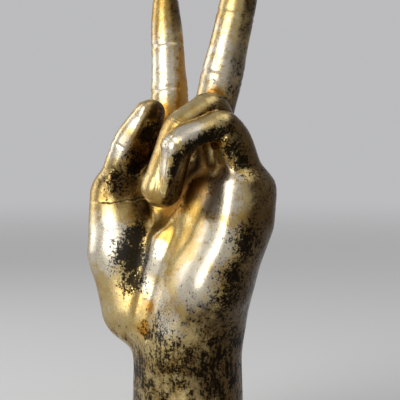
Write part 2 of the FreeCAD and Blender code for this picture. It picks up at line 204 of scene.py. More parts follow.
@dataclass(frozen=True)
class FingerPlan:
    """Bones, bends and flesh of one finger, in millimetres and degrees.

    Attributes:
        knuckle: where the finger leaves the palm.
        sway: turn of its palm side about the upright.
        tilt: lean towards the palm side.
        fan: lean across the hand.
        bones: lengths of the near, middle and tip bones.
        bends: angles of the middle and tip folds.
        width: the width that its stations are shares of.
        stations: its sections.
        square: 2 for an oval section, more for a squarer one.
        sink: how far the root reaches below the knuckle.
        fold_gap: how far outside the palm side's skin a fold's pivot lies, inside where negative.
        creases: its fold lines and wrinkles.
        nail: its nail.
    """

    knuckle: Point
    sway: float
    tilt: float
    fan: float
    bones: Point
    bends: tuple[float, float]
    width: float
    stations: tuple[Station, ...]
    square: float = 2.0
    sink: float = 7.0
    fold_gap: float = 1.0
    creases: tuple[Crease, ...] = ()
    nail: NailPlan = NailPlan()

    def axes(self) -> tuple[Rows, Rows, Rows]:
        """Direction, palm side and cross direction at the knuckle."""
        sway, tilt, fan = (math.radians(angle) for angle in (self.sway, self.tilt, self.fan))
        inward = np.array([math.sin(sway), -math.cos(sway), 0.0])
        across = np.array([math.cos(sway), math.sin(sway), 0.0])
        ahead, inward = self.flexed(np.array([0.0, 0.0, 1.0]), inward, tilt)
        leaning = ahead * math.cos(fan) + across * math.sin(fan)
        return leaning, inward, across * math.cos(fan) - ahead * math.sin(fan)

    @staticmethod
    def flexed(ahead: Rows, inward: Rows, turn: float) -> tuple[Rows, Rows]:
        """Turn a direction and its palm side towards the palm, in radians."""
        cos, sin = math.cos(turn), math.sin(turn)
        return ahead * cos + inward * sin, inward * cos - ahead * sin

    def stretches(self) -> dict[str, tuple[Rows, Rows, Rows, float, float]]:
        """Start, direction, palm side, amount and fold radius of every stretch.

        A straight stretch has radius 0 and its length as the amount. A fold
        turns by its angle about a pivot near the skin of the palm side.
        """
        ahead, inward, _ = self.axes()
        point = np.array(self.knuckle)
        deep = {station.run: station.deep * self.width for station in self.stations}
        plan = (("near", self.bones[0]), ("mid_fold", self.bends[0]), ("mid", self.bones[1]),
                ("tip_fold", self.bends[1]), ("tip", self.bones[2]))
        found = {}
        for run, amount in plan:
            if run.endswith("fold"):
                angle = math.radians(amount)
                radius = deep[run] / 2 + self.fold_gap
                found[run] = (point, ahead, inward, angle, radius)
                pivot = point + inward * radius
                ahead, inward = self.flexed(ahead, inward, angle)
                point = pivot - inward * radius
            else:
                found[run] = (point, ahead, inward, amount, 0.0)
                point = point + ahead * amount
        return found

    def place(self, run: str, share: float) -> Rows:
        """Point on the finger's middle line at a share of a stretch."""
        start, ahead, inward, amount, radius = self.stretches()[run]
        if not radius:
            return start + ahead * (share * amount)
        _, turned = self.flexed(ahead, inward, share * amount)
        return start + inward * radius - turned * radius

    def control_rows(self) -> Rows:
        """Rows of x, y, z, half width, depth to the back, depth to the palm side."""
        half = self.width / 2
        ahead = self.axes()[0]
        first = self.stations[0]
        root = np.array(self.knuckle) - ahead * self.sink
        rows = [[*root, first.wide * half, first.deep * half, first.deep * half]]
        for station in self.stations:
            deep = station.deep * half
            back = deep + station.knuckle * self.width
            rows.append([*self.place(station.run, station.share), station.wide * half, back, deep])
        return np.array(rows)


class Limb:
    """A finger's flesh: an oval section carried along a smooth line.

    The line is a cubic through the control rows with its tangents weighted by
    chord length, read at even steps. A point's distance is that of the oval
    section nearest to it: with k0 its length in units of the half sizes and k1
    the slope of that, k0 (k0 - 1) / k1. Where the section is squarer than an
    oval, k0 is taken by the section's power, and the distance grows by the
    ratio of that k0 to the plain one.

    Attributes:
        steps: steps that the line is read at.
        cubic_steps: finer steps that its length is measured in.
        reach: how far from the skin a distance is still worked out, in millimetres.
        far: distance given beyond that.
        batch: points that are looked up at a time.
    """

    steps = 200
    cubic_steps = 3000
    reach = 16.0
    far = 30.0
    batch = 20000

    def __init__(self, plan: FingerPlan) -> None:
        """Work out the line and its frames.

        Args:
            plan: the finger's sizes.
        """
        self.plan = plan
        rows, self.length = self.even_rows(plan.control_rows())
        self.centre, self.radii = rows[:, :3], rows[:, 3:]
        self.ahead = unit(np.gradient(self.centre, axis=0))
        across = np.tile(plan.axes()[2], (self.steps, 1))
        across -= (across * self.ahead).sum(1)[:, None] * self.ahead
        self.across = unit(across)
        self.back = np.cross(self.ahead, self.across)
        self.step = self.length / (self.steps - 1)
        self.low = self.centre.min(0) - self.radii.max() - self.reach
        self.high = self.centre.max(0) + self.radii.max() + self.reach

    def even_rows(self, rows: Rows) -> tuple[Rows, float]:
        """Carry control rows to even steps along a smooth cubic.

        Args:
            rows: the control rows.

        Returns:
            Rows at even steps, and the length of the line.
        """
        chord = np.linalg.norm(np.diff(rows[:, :3], axis=0), axis=1)
        at = np.concatenate([[0.0], np.cumsum(chord)])
        slope = np.diff(rows, axis=0) / chord[:, None]
        before, after = chord[:-1, None], chord[1:, None]
        inner = (slope[:-1] * after + slope[1:] * before) / (before + after)
        tangent = np.concatenate([slope[:1], inner, slope[-1:]])
        fine = np.linspace(0.0, at[-1], self.cubic_steps)
        k = np.clip(np.searchsorted(at, fine, side="right") - 1, 0, len(rows) - 2)
        gap = chord[k][:, None]
        t = (fine - at[k])[:, None] / gap
        line = (
            (2 * t ** 3 - 3 * t ** 2 + 1) * rows[k] + (t ** 3 - 2 * t ** 2 + t) * gap * tangent[k]
            + (3 * t ** 2 - 2 * t ** 3) * rows[k + 1] + (t ** 3 - t ** 2) * gap * tangent[k + 1]
        )
        run = np.concatenate([[0.0], np.cumsum(np.linalg.norm(np.diff(line[:, :3], axis=0), axis=1))])
        even = np.linspace(0.0, run[-1], self.steps)
        return np.stack([np.interp(even, run, column) for column in line.T], 1), float(run[-1])

    def nearest(self, points: Rows) -> Rows:
        """Index of the nearest step of the line, for every point."""
        squares = (self.centre ** 2).sum(1)
        found = [
            (squares - 2.0 * part @ self.centre.T).argmin(1)
            for part in np.array_split(points, len(points) // self.batch + 1)
        ]
        return np.concatenate(found)

    def frames(self, along: Rows) -> tuple[Rows, ...]:
        """Centre, across, back, ahead and half sizes at distances along the line."""
        place = np.clip(along / self.step, 0.0, self.steps - 1.001)
        whole = place.astype(int)
        part = (place - whole)[:, None]
        columns = (self.centre, self.across, self.back, self.ahead, self.radii)
        return tuple(column[whole] * (1 - part) + column[whole + 1] * part for column in columns)

    def local(self, points: Rows) -> tuple[Rows, Rows, Rows, Rows, Rows]:
        """Each point in the finger's own terms.

        Args:
            points: one row a point.

        Returns:
            Across, towards the back, past the end, half sizes there, and the
            distance along the finger.
        """
        index = self.nearest(points)
        along = index * self.step + ((points - self.centre[index]) * self.ahead[index]).sum(1)
        along = np.clip(along, 0.0, self.length)
        centre, *axes, radii = self.frames(along)
        u, v, w = (((points - centre) * axis).sum(1) for axis in axes)
        return u, v, w, radii, along

    def distance(self, points: Rows) -> Rows:
        """Distance from every point to the finger's skin, cut short where it is far off."""
        out = np.full(len(points), self.far)
        near = np.all((points > self.low) & (points < self.high), axis=1)
        if not near.any():
            return out
        u, v, w, radii, _ = self.local(points[near])
        half = np.stack([radii[:, 0], np.where(v > 0, radii[:, 1], radii[:, 2]), radii[:, 0]], 1)
        place = np.abs(np.stack([u, v, w], 1))
        power = self.plan.square
        ratio = place / half
        k0 = (ratio[:, 0] ** power + ratio[:, 1] ** power) ** (1.0 / power)
        k0 = np.sqrt(k0 ** 2 + ratio[:, 2] ** 2) + 1e-9
        k1 = np.sqrt(((place / half ** 2) ** 2).sum(1)) + 1e-9
        out[near] = k0 * (k0 - 1.0) / k1 * k0 / np.maximum(np.sqrt((ratio ** 2).sum(1)), 1e-9)
        return out

    def along(self, run: str, share: float) -> float:
        """Distance along the finger's line of a share of one of its stretches."""
        place = self.plan.place(run, share)
        return float(self.nearest(place[None])[0]) * self.step

    def skin_point(self, side: Rows, along: Rows, lift: Rows) -> Rows:
        """Points on the back of the finger, raised by a lift.

        Args:
            side: shares of the half width, -1 to 1.
            along: distances along the finger's line.
            lift: millimetres above the skin.

        Returns:
            One row a point.
        """
        centre, across, back, ahead, radii = self.frames(along)
        past = np.maximum(along - self.length, 0.0)
        shrink = np.sqrt(np.maximum(1.0 - (past / radii[:, 0]) ** 2, 0.0))
        power = self.plan.square
        rise = np.maximum(1.0 - np.abs(side) ** power, 0.0) ** (1.0 / power)
        u = side * radii[:, 0] * shrink
        v = rise * radii[:, 1] * shrink + lift
        return centre + across * u[:, None] + back * v[:, None] + ahead * past[:, None]


@dataclass(frozen=True)
class Column:
    """A tapering column of flesh between two balls, in millimetres."""

    start: Point
    end: Point
    start_radius: float
    end_radius: float

    def distance(self, points: Rows) -> Rows:
        """Distance to the nearest ball of a row of balls from start to end."""
        share, offset = from_line(points, self.start, self.end)
        radius = self.start_radius + (self.end_radius - self.start_radius) * share
        return np.linalg.norm(offset, axis=1) - radius


def chain(*balls: tuple[float, float, float, float]) -> tuple[Column, ...]:
    """Columns from ball to ball, each ball given by x, y, z and radius."""
    return tuple(Column(a[:3], b[:3], a[3], b[3]) for a, b in zip(balls, balls[1:]))


@dataclass(frozen=True)
class Mass:
    """Columns that are softly joined to each other and then to the palm."""

    columns: tuple[Column, ...]
    inner_join: float
    outer_join: float

    def distance(self, points: Rows) -> Rows:
        """Distance to the joined columns."""
        found = self.columns[0].distance(points)
        for column in self.columns[1:]:
            found = smooth_min(found, column.distance(points), self.inner_join)
        return found


@dataclass(frozen=True)
class PalmForm:
    """The wrist column and the fleshy masses of the palm, in millimetres."""

    foot: float = 2.0
    foot_round: float = 2.5
    heights: tuple[float, ...] = (0.0, 30.0, 62.0, 84.0, 104.0, 118.0)
    half_widths: tuple[float, ...] = (35.5, 34.5, 33.5, 31.0, 22.0, 6.0)
    half_depths: tuple[float, ...] = (26.5, 25.5, 24.5, 22.0, 15.0, 4.0)
    masses: tuple[Mass, ...] = (
        Mass((
            *chain((-9, 2, 74, 17), (-24, 8, 147, 13.5)), *chain((-2, 3, 74, 19), (-2, 11, 150, 14)),
            *chain((6, 3, 74, 18), (18, 12, 143, 13.5)), *chain((15.6, 3.8, 76.5, 17), (36.5, 12, 134, 12.4)),
        ), 12, 16),
        Mass(chain((-24, -15.5, 76, 19), (-31, -18, 106, 19), (-39, -17.5, 137, 14.2)), 10, 16),
        Mass(chain((9, -8, 64, 16), (29, -5, 94, 17), (35.4, 2.4, 118, 14.4), (38, 5, 140, 11.5)), 10, 16),
        Mass(chain((2, -4, 60, 18), (4, -6, 104, 13), (17, 0, 138, 11)), 12, 18),
        Mass(chain((-30, -8, 138, 9), (-14, 4, 146, 10)), 12, 12),
    )

    def wrist(self, points: Rows) -> Rows:
        """Distance to an upright column whose oval section changes with height."""
        height = points[:, 2]
        wide = np.interp(height, self.heights, self.half_widths)
        deep = np.interp(height, self.heights, self.half_depths)
        k0 = np.hypot(points[:, 0] / wide, points[:, 1] / deep) + 1e-9
        k1 = np.hypot(points[:, 0] / wide ** 2, points[:, 1] / deep ** 2) + 1e-9
        return np.maximum(k0 * (k0 - 1.0) / k1, height - self.heights[-1])

    def distance(self, points: Rows) -> Rows:
        """Distance to wrist and palm together, flat at the foot."""
        found = self.wrist(points)
        for mass in self.masses:
            found = smooth_min(found, mass.distance(points), mass.outer_join)
        return -smooth_min(-found, points[:, 2] - self.foot, self.foot_round)


def creases(palm: tuple[tuple, ...], back: tuple[tuple, ...]) -> tuple[Crease, ...]:
    """Fold lines from rows of run, share, depth, width and bow, for the palm side and the back."""
    return (*(Crease(*row) for row in palm), *(Crease(*row, palm_side=False) for row in back))


LINES_STRAIGHT = creases(
    (("near", 0.22, 0.35, 1.4, -0.6), ("mid_fold", 0.5, 0.60, 1.5, 0.5), ("mid_fold", 0.5, -0.35, 4.5),
     ("tip_fold", 0.5, 0.50, 1.4, 0.4), ("tip_fold", 0.5, -0.25, 3.5)),
    (("mid_fold", 0.5, 0.30, 0.8, -1.2), ("near", 0.94, 0.22, 0.7, -1.8), ("mid", 0.10, 0.24, 0.7, 1.8),
     ("mid", 0.18, -0.10, 2.5), ("tip_fold", 0.5, 0.28, 0.8, 0.8), ("mid", 0.93, 0.18, 0.6, -1.0)),
)
LINES_FOLDED = creases(
    (("mid_fold", 0.5, 0.9, 1.4), ("tip_fold", 0.5, 0.7, 1.2)),
    (("mid_fold", 0.30, 0.16, 0.7, -1.5), ("mid_fold", 0.70, 0.16, 0.7, 1.5),
     ("tip_fold", 0.35, 0.15, 0.6, -0.8), ("tip_fold", 0.65, 0.15, 0.6, 0.8)),
)
LINES_THUMB = creases(
    (("mid_fold", 0.5, 0.5, 1.1, 0.5), ("tip_fold", 0.5, 0.3, 0.9, 0.4)),
    (("tip_fold", 0.5, 0.25, 0.8, 0.8), ("mid", 0.7, 0.2, 0.7, -0.8)),
)

FINGERS: Mapping[str, FingerPlan] = {
    "thumb": FingerPlan((-38.5, -16, 130), 100, 8, 2, (19, 11, 18), (16, 12), 25.0, BROAD,
                        creases=LINES_THUMB, nail=NailPlan(15.0, 0.78, 1.5)),
    "index_finger": FingerPlan((-24, 8, 148), 0, -7, -12, (45, 26, 24), (1.0, 0.5), 21.0, STRAIGHT,
                               creases=LINES_STRAIGHT),
    "middle_finger": FingerPlan((-2, 10.5, 151), 0, -7.5, 12, (50, 32, 21), (1.0, 0.5), 22.6, STRAIGHT,
                                creases=LINES_STRAIGHT),
    "ring_finger": FingerPlan((17, 10, 144), -12, 13, 8, (34.2, 14, 30), (110, 42), 20.0, FOLDED, 2.3,
                              fold_gap=-5.0, creases=LINES_FOLDED),
    "little_finger": FingerPlan((36, 12, 136), -22, 22.5, 6, (34.4, 20.5, 19.8), (91, 56), 19.5, SLENDER, 2.5,
                                fold_gap=-2.0, creases=LINES_FOLDED, nail=NailPlan(10.5, 0.80, 0.3)),
}


@dataclass(frozen=True)
class SkinLine:
    """A line pressed into the skin of the palm or back.

    Attributes:
        points: places it passes near, in millimetres.
        depth: how deep it is, or how high where negative.
        width: its half width.
        upper_width: its half width above the line, where it differs.
    """

    points: tuple[Point, ...]
    depth: float
    width: float
    upper_width: float = 0.0

    def press(self, points: Rows) -> Rows:
        """Depth at every point: a bell over the distance to the broken line."""
        nearest, rise = np.full(len(points), np.inf), np.zeros(len(points))
        for start, end in zip(self.points, self.points[1:]):
            _, offset = from_line(points, start, end)
            far = np.linalg.norm(offset, axis=1)
            rise = np.where(far < nearest, offset[:, 2], rise)
            nearest = np.minimum(nearest, far)
        width = np.where(rise > 0, self.upper_width or self.width, self.width)
        return self.depth * bell(nearest, width)


SKIN_LINES = (
    SkinLine(((-8, -26, 66), (-6, -25, 80), (-3, -22.5, 96), (1, -20, 108), (3, -19, 118)), -2.2, 5.0),
    SkinLine(((0, -26, 66), (2, -23.5, 82), (4, -21, 96), (7.5, -19, 108), (10, -18, 120)), 1.3, 4.5),
    SkinLine(((-20, -18, 135.0), (-25, -24, 133.5), (-29.5, -29.5, 132.2)), 2.0, 0.9, 7.0),
    SkinLine(((-17, -15, 128), (-13, -15, 120), (-5, -17, 115)), -3.0, 6.5),
    SkinLine(((-13.8, -15.9, 184), (-15, -18.4, 176.8), (-20, -21, 166), (-25, -24, 157), (-31, -28, 147)),
             -0.9, 2.6),
    SkinLine(((-14, -12, 172), (-18, -12, 164), (-22, -14, 156)), 1.3, 5.0),
    SkinLine(((39.5, -14.7, 171), (36.5, -21.9, 169), (34.1, -27.4, 165.5), (30, -31.2, 161)), -0.6, 2.2),
    SkinLine(((30, -31.2, 161), (28, -32, 154), (26, -32.3, 148)), -0.6, 1.8),
    SkinLine(((40, -5, 142), (45, -9, 128), (46, -13, 117), (42.5, -17, 104), (38, -21, 92), (30, -24, 81),
              (22, -25.5, 70), (17, -25, 56)), -1.2, 6.0),
    SkinLine(((4, -20, 118), (16, -21, 114), (28, -20, 118)), 0.3, 1.6),
    SkinLine(((47, -6, 118), (49, 0, 106), (48, 2, 96)), 0.35, 0.8),
    SkinLine(((50, -2, 120), (51, 3, 108), (50, 5, 98)), 0.35, 0.8),
    SkinLine(((-6, 25, 70), (-14, 24, 100), (-23, 21, 138)), -0.9, 3.2),
    SkinLine(((0, 26, 70), (-2, 27, 100), (-2, 26, 140)), -1.0, 3.2),
    SkinLine(((6, 26, 70), (10, 27, 100), (18, 26, 134)), -0.9, 3.0),
    SkinLine(((12, 25, 70), (23, 26, 100), (36, 25, 126)), -0.8, 3.0),
)


class HandForm:
    """The whole hand: palm, four fingers and thumb, softly joined.

    Index and middle finger join the palm with one wide valley. The folded
    fingers and the thumb join it near their roots only, so that they lie on the
    palm with a sharp line further on.

    Attributes:
        root_join: width of the valley at the root of a straight finger, in millimetres.
        touch_join: its width where a finger only touches the palm.
        ring_join: what the ring finger's root adds to that; little_join and thumb_join alike.
        palm_side_fade: shares of the depth between which a palm side's crease comes in.
        back_side_fade: the same for a crease on the back.
    """

    root_join = 9.0
    touch_join = 1.0
    ring_join = 9.0
    little_join = 11.0
    thumb_join = 11.0
    palm_side_fade = (-0.25, 0.35)
    back_side_fade = (-0.1, 0.5)

    def __init__(self) -> None:
        """Set up the palm and a limb for every finger."""
        self.palm = PalmForm()
        self.limbs = {name: Limb(plan) for name, plan in FINGERS.items()}
        self.names = ["hand_shell", *self.limbs]

    def parts(self, points: Rows) -> Rows:
        """Distances to palm, thumb and fingers, one column each."""
        columns = [self.palm.distance(points)]
        columns += [limb.distance(points) for limb in self.limbs.values()]
        return np.stack(columns, 1)

    def join_widths(self, points: Rows) -> dict[str, Union[float, Rows]]:
        """Width of the valley between each finger and the palm at every point, in the order of joining."""
        y, z = points[:, 1], points[:, 2]
        low = ramp(z, 160.0, 145.0)
        return {
            "index_finger": self.root_join,
            "middle_finger": self.root_join,
            "ring_finger": self.touch_join + self.ring_join * low * ramp(y, -8.0, 0.0),
            "little_finger": self.touch_join + self.little_join * low * ramp(y, -17.0, -8.0),
            "thumb": self.touch_join + self.thumb_join * ramp(z, 158.0, 138.0),
        }

    def distance(self, points: Rows) -> Rows:
        """Distance from every point to the joined skin, negative inside."""
        found = self.palm.distance(points)
        for name, width in self.join_widths(points).items():
            found = smooth_min(found, self.limbs[name].distance(points), width)
        return found

    def relief(self, points: Rows, owner: Rows) -> Rows:
        """Height of the fine relief over the plain skin.

        Args:
            points: places on the skin.
            owner: index of the part that each belongs to.

        Returns:
            Millimetres to move each point outward.
        """
        height = np.zeros(len(points))
        for line in SKIN_LINES:
            height -= line.press(points)
        for number, (name, limb) in enumerate(self.limbs.items(), start=1):
            chosen = owner == number
            if not chosen.any():
                continue
            u, v, _, radii, along = limb.local(points[chosen])
            side = u / radii[:, 0]
            palm_side = smooth_step(-v / radii[:, 2], *self.palm_side_fade)
            back_side = smooth_step(v / radii[:, 1], *self.back_side_fade)
            relief = np.zeros(chosen.sum())
            for crease in limb.plan.creases:
                centre = limb.along(crease.run, crease.share) + crease.bow * side ** 2
                mask = palm_side if crease.palm_side else back_side
                relief -= crease.depth * bell(along - centre, crease.width) * mask
            height[chosen] += relief
        return height


@dataclass
class Net:
    """A net of four-cornered meshes.

    Attributes:
        points: one row a knot, in millimetres.
        quads: four knots a mesh, anticlockwise seen from outside.
    """

    points: Rows
    quads: Rows

    def split(self) -> "Net":
        """Cut every mesh in four at the middles of its sides."""
        sides = np.sort(np.concatenate([self.quads[:, [a, (a + 1) % 4]] for a in range(4)]), axis=1)
        pairs, index = np.unique(sides, axis=0, return_inverse=True)
        index = index.reshape(4, -1).T + len(self.points)
        middles = self.points[pairs].mean(1)
        centres = self.points[self.quads].mean(1)
        centre = np.arange(len(self.quads)) + len(self.points) + len(pairs)
        quads = [
            np.stack([self.quads[:, a], index[:, a], centre, index[:, a - 1]], 1) for a in range(4)
        ]
        return Net(np.concatenate([self.points, middles, centres]), np.concatenate(quads))

    def spread(self, values: Rows, rounds: int) -> Rows:
        """Even out values over the net: the mean of each knot and its neighbours.

        Args:
            values: one row a knot.
            rounds: how often.

        Returns:
            The evened values.
        """
        flat = values.reshape(len(values), -1)
        start, end = self.quads.ravel(), np.roll(self.quads, -1, axis=1).ravel()
        near, far = np.concatenate([start, end]), np.concatenate([end, start])
        count = np.bincount(near, minlength=len(flat))[:, None]
        for _ in range(rounds):
            flat = 0.5 * flat + 0.5 * sum_at(near, flat[far], len(flat)) / count
        return flat.reshape(values.shape)

    def normals(self) -> Rows:
        """Outward direction at every knot: the sum, over its meshes, of their diagonals' cross product."""
        corners = self.points[self.quads]
        faces = np.cross(corners[:, 2] - corners[:, 0], corners[:, 3] - corners[:, 1])
        return unit(sum_at(self.quads.ravel(), np.repeat(faces, 4, axis=0), len(self.points)))


class NetMaker:
    """Draws the zero level of a distance as a net.

    The space is cut into coarse cells, and only those near the skin into fine
    ones. Each fine cell that the skin crosses gets a knot at the mean of where
    the skin cuts its edges, and each cut edge gets a mesh between the four
    cells round it. The knots are then drawn onto the level by Newton's steps
    along the slope.

    Attributes:
        coarse: fine cells along a side of a coarse one.
        margin: coarse cells nearer to the skin than this many of their sides are refined.
        far: distance given to the corners of the others.
        probe: half the span that a slope is measured over, in millimetres.
        flattest: least square of a slope that a step divides by.
        stride: the longest step, in millimetres.
    """

    coarse = 4
    margin = 1.4
    far = 1e3
    probe = 0.05
    flattest = 0.2
    stride = 1.0

    def __init__(self, distance: Callable[[Rows], Rows], low: Point, high: Point, cell: float) -> None:
        """Keep what to draw and where.

        Args:
            distance: the distance to draw.
            low: lowest corner of the space.
            high: highest corner.
            cell: side of a fine cell.
        """
        self.distance = distance
        self.low, self.high, self.cell = np.array(low, float), np.array(high, float), cell

    def sample(self) -> Rows:
        """Distances on the corners of the fine cells, exact only near the skin."""
        big = self.cell * self.coarse
        counts = np.ceil((self.high - self.low) / big).astype(int)
        axes = [self.low[i] + big * (np.arange(counts[i]) + 0.5) for i in range(3)]
        centres = np.stack(np.meshgrid(*axes, indexing="ij"), -1).reshape(-1, 3)
        rough = self.distance(centres).reshape(counts)
        fine = np.abs(rough) < big * self.margin
        sign = np.where(rough < 0, -self.far, self.far)
        for axis in range(3):
            fine = np.repeat(fine, self.coarse, axis)
            sign = np.repeat(sign, self.coarse, axis)
        values = np.pad(sign, ((0, 1),) * 3, constant_values=self.far)
        wanted = np.zeros(values.shape, bool)
        size = fine.shape
        for i, j, k in np.ndindex(2, 2, 2):
            wanted[i:i + size[0], j:j + size[1], k:k + size[2]] |= fine
        values[wanted] = self.distance(self.low + np.argwhere(wanted) * self.cell)
        return values

    def draw(self) -> Net:
        """Make the net."""
        values = self.sample()
        inside = values < 0
        shape = np.array(values.shape) - 1
        corners = np.array(list(np.ndindex(2, 2, 2)))
        count = sum(inside[i:i + shape[0], j:j + shape[1], k:k + shape[2]].astype(int) for i, j, k in corners)
        cells = np.argwhere((count > 0) & (count < 8))
        at_corner = np.stack([values[tuple((cells + corner).T)] for corner in corners], 1)
        total, number = np.zeros((len(cells), 3)), np.zeros(len(cells))
        for i in range(8):
            for j in range(i + 1, 8):
                if np.abs(corners[i] - corners[j]).sum() != 1:
                    continue
                first, second = at_corner[:, i], at_corner[:, j]
                cut = (first < 0) != (second < 0)
                share = np.where(cut, first / np.where(cut, first - second, 1.0), 0.0)
                place = corners[i] + share[:, None] * (corners[j] - corners[i])
                total += np.where(cut[:, None], place, 0.0)
                number += cut
        points = self.low + self.cell * (cells + total / number[:, None])
        index = np.full(shape, -1, np.int64)
        index[tuple(cells.T)] = np.arange(len(cells))
        quads = [self.meshes(inside, index, axis) for axis in range(3)]
        return Net(points, np.concatenate(quads))

    @staticmethod
    def meshes(inside: Rows, index: Rows, axis: int) -> Rows:
        """One mesh for every edge along an axis that the skin cuts."""
        one, two = (i for i in range(3) if i != axis)
        low = [slice(1, size - 1) for size in inside.shape]
        high = list(low)
        low[axis], high[axis] = slice(0, inside.shape[axis] - 1), slice(1, inside.shape[axis])
        near, far = inside[tuple(low)], inside[tuple(high)]
        edges = np.argwhere(near != far)
        outward = near[tuple(edges.T)]
        shift = np.ones(3, int)
        shift[axis] = 0
        base = edges + shift
        found = []
        for back_one, back_two in ((1, 1), (0, 1), (0, 0), (1, 0)):
            cell = base.copy()
            cell[:, one] -= back_one
            cell[:, two] -= back_two
            found.append(index[tuple(cell.T)])
        quads = np.stack(found, 1)
        turn = outward if axis == 1 else ~outward
        quads[turn] = quads[turn][:, ::-1]
        return quads

    def slope(self, points: Rows) -> Rows:
        """Slope of the distance by central differences."""
        return np.stack([
            (self.distance(points + shift) - self.distance(points - shift)) / (2 * self.probe)
            for shift in np.eye(3) * self.probe
        ], 1)

    def settle(self, net: Net, rounds: int) -> Net:
        """Even the net out and draw it onto the level again.

        Args:
            net: the net to settle.
            rounds: how often.

        Returns:
            The settled net.
        """
        points = net.points
        for _ in range(rounds):
            points = net.spread(points, 1)
            slope = self.slope(points)
            step = (self.distance(points) / np.maximum((slope ** 2).sum(1), self.flattest))[:, None] * slope
            long = np.linalg.norm(step, axis=1, keepdims=True)
            points = points - step * np.minimum(1.0, self.stride / np.maximum(long, 1e-9))
        return Net(points, net.quads)


# Meshes


def make_piece(name: str, points: Rows, faces: Rows, normals: Union[Rows, None] = None,
               marks: Union[Mapping[str, Rows], None] = None) -> bpy.types.Object:
    """Put a mesh into the scene, smooth shaded.

    Args:
        name: name of the piece.
        points: one row a corner, in millimetres.
        faces: corners of each face.
        normals: outward direction at each corner, if it is to be kept as given.
        marks: values at each corner that the finish reads, by name.

    Returns:
        The new object, at the origin.
    """
    mesh = bpy.data.meshes.new(name)
    sides = faces.shape[1]
    mesh.vertices.add(len(points))
    mesh.vertices.foreach_set("co", (points * METRES_PER_MM).astype(np.float32).ravel())
    mesh.loops.add(faces.size)
    mesh.loops.foreach_set("vertex_index", faces.astype(np.int32).ravel())
    mesh.polygons.add(len(faces))
    mesh.polygons.foreach_set("loop_start", np.arange(0, faces.size, sides, dtype=np.int32))
    mesh.update(calc_edges=True)
    mesh.shade_smooth()
    for mark, values in (marks or {}).items():
        layer = mesh.attributes.new(mark, "FLOAT", "POINT")
        layer.data.foreach_set("value", values.astype(np.float32))
    if normals is not None:
        mesh.normals_split_custom_set_from_vertices([tuple(row) for row in normals])
    piece = bpy.data.objects.new(name, mesh)
    bpy.context.scene.collection.objects.link(piece)
    return piece


def lathe(wide: Rows, deep: Rows, height: Rows, turns: int, closed_below: bool) -> tuple[Rows, Rows]:
    """Carry a profile round an upright oval and close it at its last ring.

    Formula: at angle t a ring lies at wide cos t, deep sin t and its height.

    Args:
        wide: half width of every ring, the lowest first.
        deep: half depth of every ring.
        height: height of every ring.
        turns: corners of a ring.
        closed_below: close the first ring too.

    Returns:
        The corners, and triangles that face outward.
    """
    angle = np.linspace(0.0, 2 * math.pi, turns, endpoint=False)
    rings = np.stack([np.outer(wide, np.cos(angle)), np.outer(deep, np.sin(angle)),
                      np.outer(height, np.ones(turns))], -1)
    poles = [[0.0, 0.0, height[-1]], [0.0, 0.0, height[0]]]
    index = np.arange(len(height) * turns).reshape(-1, turns)
    after = np.roll(index, -1, axis=1)
    faces = [(index[:-1], after[:-1], after[1:]), (index[:-1], after[1:], index[1:]),
             (index[-1], after[-1], np.full(turns, index.size))]
    if closed_below:
        faces.append((after[0], index[0], np.full(turns, index.size + 1)))
    points = np.concatenate([rings.reshape(-1, 3), poles[:1 + closed_below]])
    return points, np.concatenate([np.stack(face, -1).reshape(-1, 3) for face in faces])


# Finishes


class Kit:
    """Adds nodes to one material or world."""

    def __init__(self, tree: bpy.types.NodeTree) -> None:
        """Start from an empty tree."""
        self.tree = tree
        tree.nodes.clear()

    def node(self, kind: str, settings: Mapping[str, object], inputs: Mapping[Union[str, int], object],
             output: Union[str, int] = 0) -> "Wire":
        """Add a node.

        Args:
            kind: the node's type, without its ShaderNode prefix.
            settings: attributes to set first.
            inputs: values or wires, by socket name or number.
            output: which output to hand back.

        Returns:
            The output as a wire.
        """
        made = self.tree.nodes.new("ShaderNode" + kind)
        for name, value in settings.items():
            setattr(made, name, value)
        for name, value in inputs.items():
            socket = made.inputs[name]
            if isinstance(value, Wire):
                self.tree.links.new(value.socket, socket)
            else:
                socket.default_value = value
        return Wire(self, made.outputs[output] if made.outputs else None)

    def colour(self, factor: object, first: object, second: object) -> "Wire":
        """Mix two colours by a factor."""
        return self.node("Mix", {"data_type": "RGBA"}, {0: factor, 6: first, 7: second}, 2)

    def noise(self, at: "Wire", scale: float, detail: float, rough: float) -> "Wire":
        """Cloudy noise between 0 and 1, with features of about 1 / scale metres."""
        inputs = {"Vector": at, "Scale": scale, "Detail": detail, "Roughness": rough}
        return self.node("TexNoise", {}, inputs)

    def bump(self, height: "Wire", strength: float, reach: float) -> "Wire":
        """Normals of a fine relief, whose height of 1 stands for a reach in metres."""
        return self.node("Bump", {}, {"Strength": strength, "Distance": reach, "Height": height})

    def mark(self, name: str) -> "Wire":
        """A value that the mesh carries."""
        return self.node("Attribute", {"attribute_name": name}, {}, "Fac")


class Wire:
    """An output socket with arithmetic."""

    def __init__(self, kit: Kit, socket: Union[bpy.types.NodeSocket, None]) -> None:
        """Wrap a socket."""
        self.kit = kit
        self.socket = socket

    def sum(self, operation: str, first: object, second: object) -> "Wire":
        """Add a Math node."""
        return self.kit.node("Math", {"operation": operation}, {0: first, 1: second})

    def __add__(self, other: object) -> "Wire":
        """Sum."""
        return self.sum("ADD", self, other)

    __radd__ = __add__

    def __sub__(self, other: object) -> "Wire":
        """Difference."""
        return self.sum("SUBTRACT", self, other)

    def __mul__(self, other: object) -> "Wire":
        """Product."""
        return self.sum("MULTIPLY", self, other)

    def ramp(self, low: float, high: float) -> "Wire":
        """Ease from 0 at low to 1 at high."""
        inputs = {"Value": self, "From Min": low, "From Max": high}
        return self.kit.node("MapRange", {"interpolation_type": "SMOOTHSTEP", "clamp": True}, inputs)


Colour = tuple[float, float, float, float]


